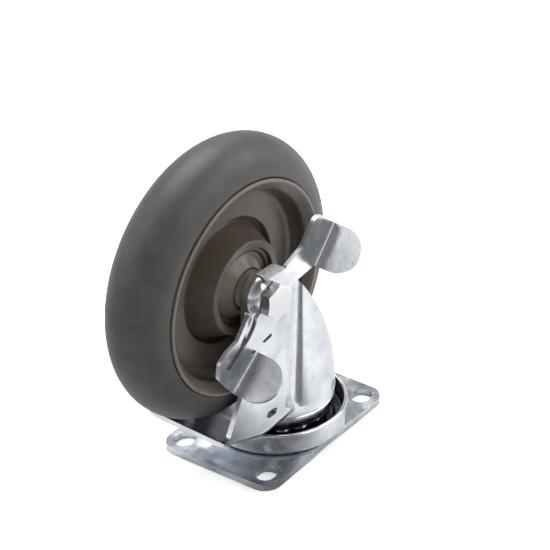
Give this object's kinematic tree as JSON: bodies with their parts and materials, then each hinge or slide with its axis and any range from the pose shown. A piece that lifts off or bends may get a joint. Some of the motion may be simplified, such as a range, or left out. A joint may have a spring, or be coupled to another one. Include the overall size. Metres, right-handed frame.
{
  "type": "swivel caster with brake",
  "caption": "Swivel plate caster: rubber-tread wheel on a plastic core in a pressed steel fork, with a side brake lever with two pedals, standing on its mounting plate.",
  "frame": {"origin": "on the swivel axis, in the plane of the plate's mounting face", "axes": "+Z from the mounting face towards the wheel, +Y along the plate's long side, +X along its short side; the brake lever is on the +X side of the wheel"},
  "size_m": [0.0829, 0.1476, 0.1594],
  "materials": {
    "zinc_plate": "bright zinc plating, slightly mottled",
    "zinc_hardware": "zinc plated fastener",
    "hardened_steel": "ground and greased",
    "tread_rubber": "satin dark warm grey",
    "core_plastic": "moulded, satin, taupe",
    "bushing_nylon": "moulded, natural"
  },
  "bodies": {
    "base": {"mounting_plate": "zinc_plate", "raceway_cup": "zinc_plate", "king_pin": "zinc_plate", "thrust_race": "hardened_steel"},
    "ball_sets": {"main_ball_01": "hardened_steel", "main_ball_02": "hardened_steel", "main_ball_03": "hardened_steel", "main_ball_04": "hardened_steel", "main_ball_05": "hardened_steel", "main_ball_06": "hardened_steel", "main_ball_07": "hardened_steel", "main_ball_08": "hardened_steel", "main_ball_09": "hardened_steel", "main_ball_10": "hardened_steel", "main_ball_11": "hardened_steel", "main_ball_12": "hardened_steel", "main_ball_13": "hardened_steel", "main_ball_14": "hardened_steel", "main_ball_15": "hardened_steel", "main_ball_16": "hardened_steel", "thrust_ball_01": "hardened_steel", "thrust_ball_02": "hardened_steel", "thrust_ball_03": "hardened_steel", "thrust_ball_04": "hardened_steel", "thrust_ball_05": "hardened_steel", "thrust_ball_06": "hardened_steel", "thrust_ball_07": "hardened_steel", "thrust_ball_08": "hardened_steel", "thrust_ball_09": "hardened_steel", "thrust_ball_10": "hardened_steel", "thrust_ball_11": "hardened_steel", "thrust_ball_12": "hardened_steel", "thrust_ball_13": "hardened_steel", "thrust_ball_14": "hardened_steel"},
    "fork_assembly": {"fork": "zinc_plate", "axle_bolt": "zinc_hardware", "axle_washer": "zinc_hardware", "axle_lock_nut": "zinc_hardware", "axle_sleeve": "hardened_steel"},
    "wheel": {"tyre": "tread_rubber", "wheel_core": "core_plastic", "hub_bushing_brake_side": "bushing_nylon", "hub_bushing_nut_side": "bushing_nylon"},
    "brake": {"brake_lever": "zinc_plate"}
  },
  "joints": [
    {"name": "swivel", "type": "hinge", "parent": "base", "child": "fork_assembly", "pos_m": [0, 0, 0], "axis": [0, 0, 1], "continuous": true},
    {"name": "ball_orbit", "type": "hinge", "parent": "base", "child": "ball_sets", "pos_m": [0, 0, 0.01], "axis": [0, 0, 1], "continuous": true},
    {"name": "wheel_spin", "type": "hinge", "parent": "fork_assembly", "child": "wheel", "pos_m": [-0.00219, -0.03804, 0.0959], "axis": [0.9983, -0.0576, 0], "continuous": true},
    {"name": "brake_rock", "type": "hinge", "parent": "fork_assembly", "child": "brake", "pos_m": [-0.00219, -0.03804, 0.0959], "axis": [0.9983, -0.0576, 0], "range_deg": [-28, 0]}
  ],
  "couplings": [
    {"joint": "ball_orbit", "follows": "swivel", "ratio": 0.5}
  ]
}
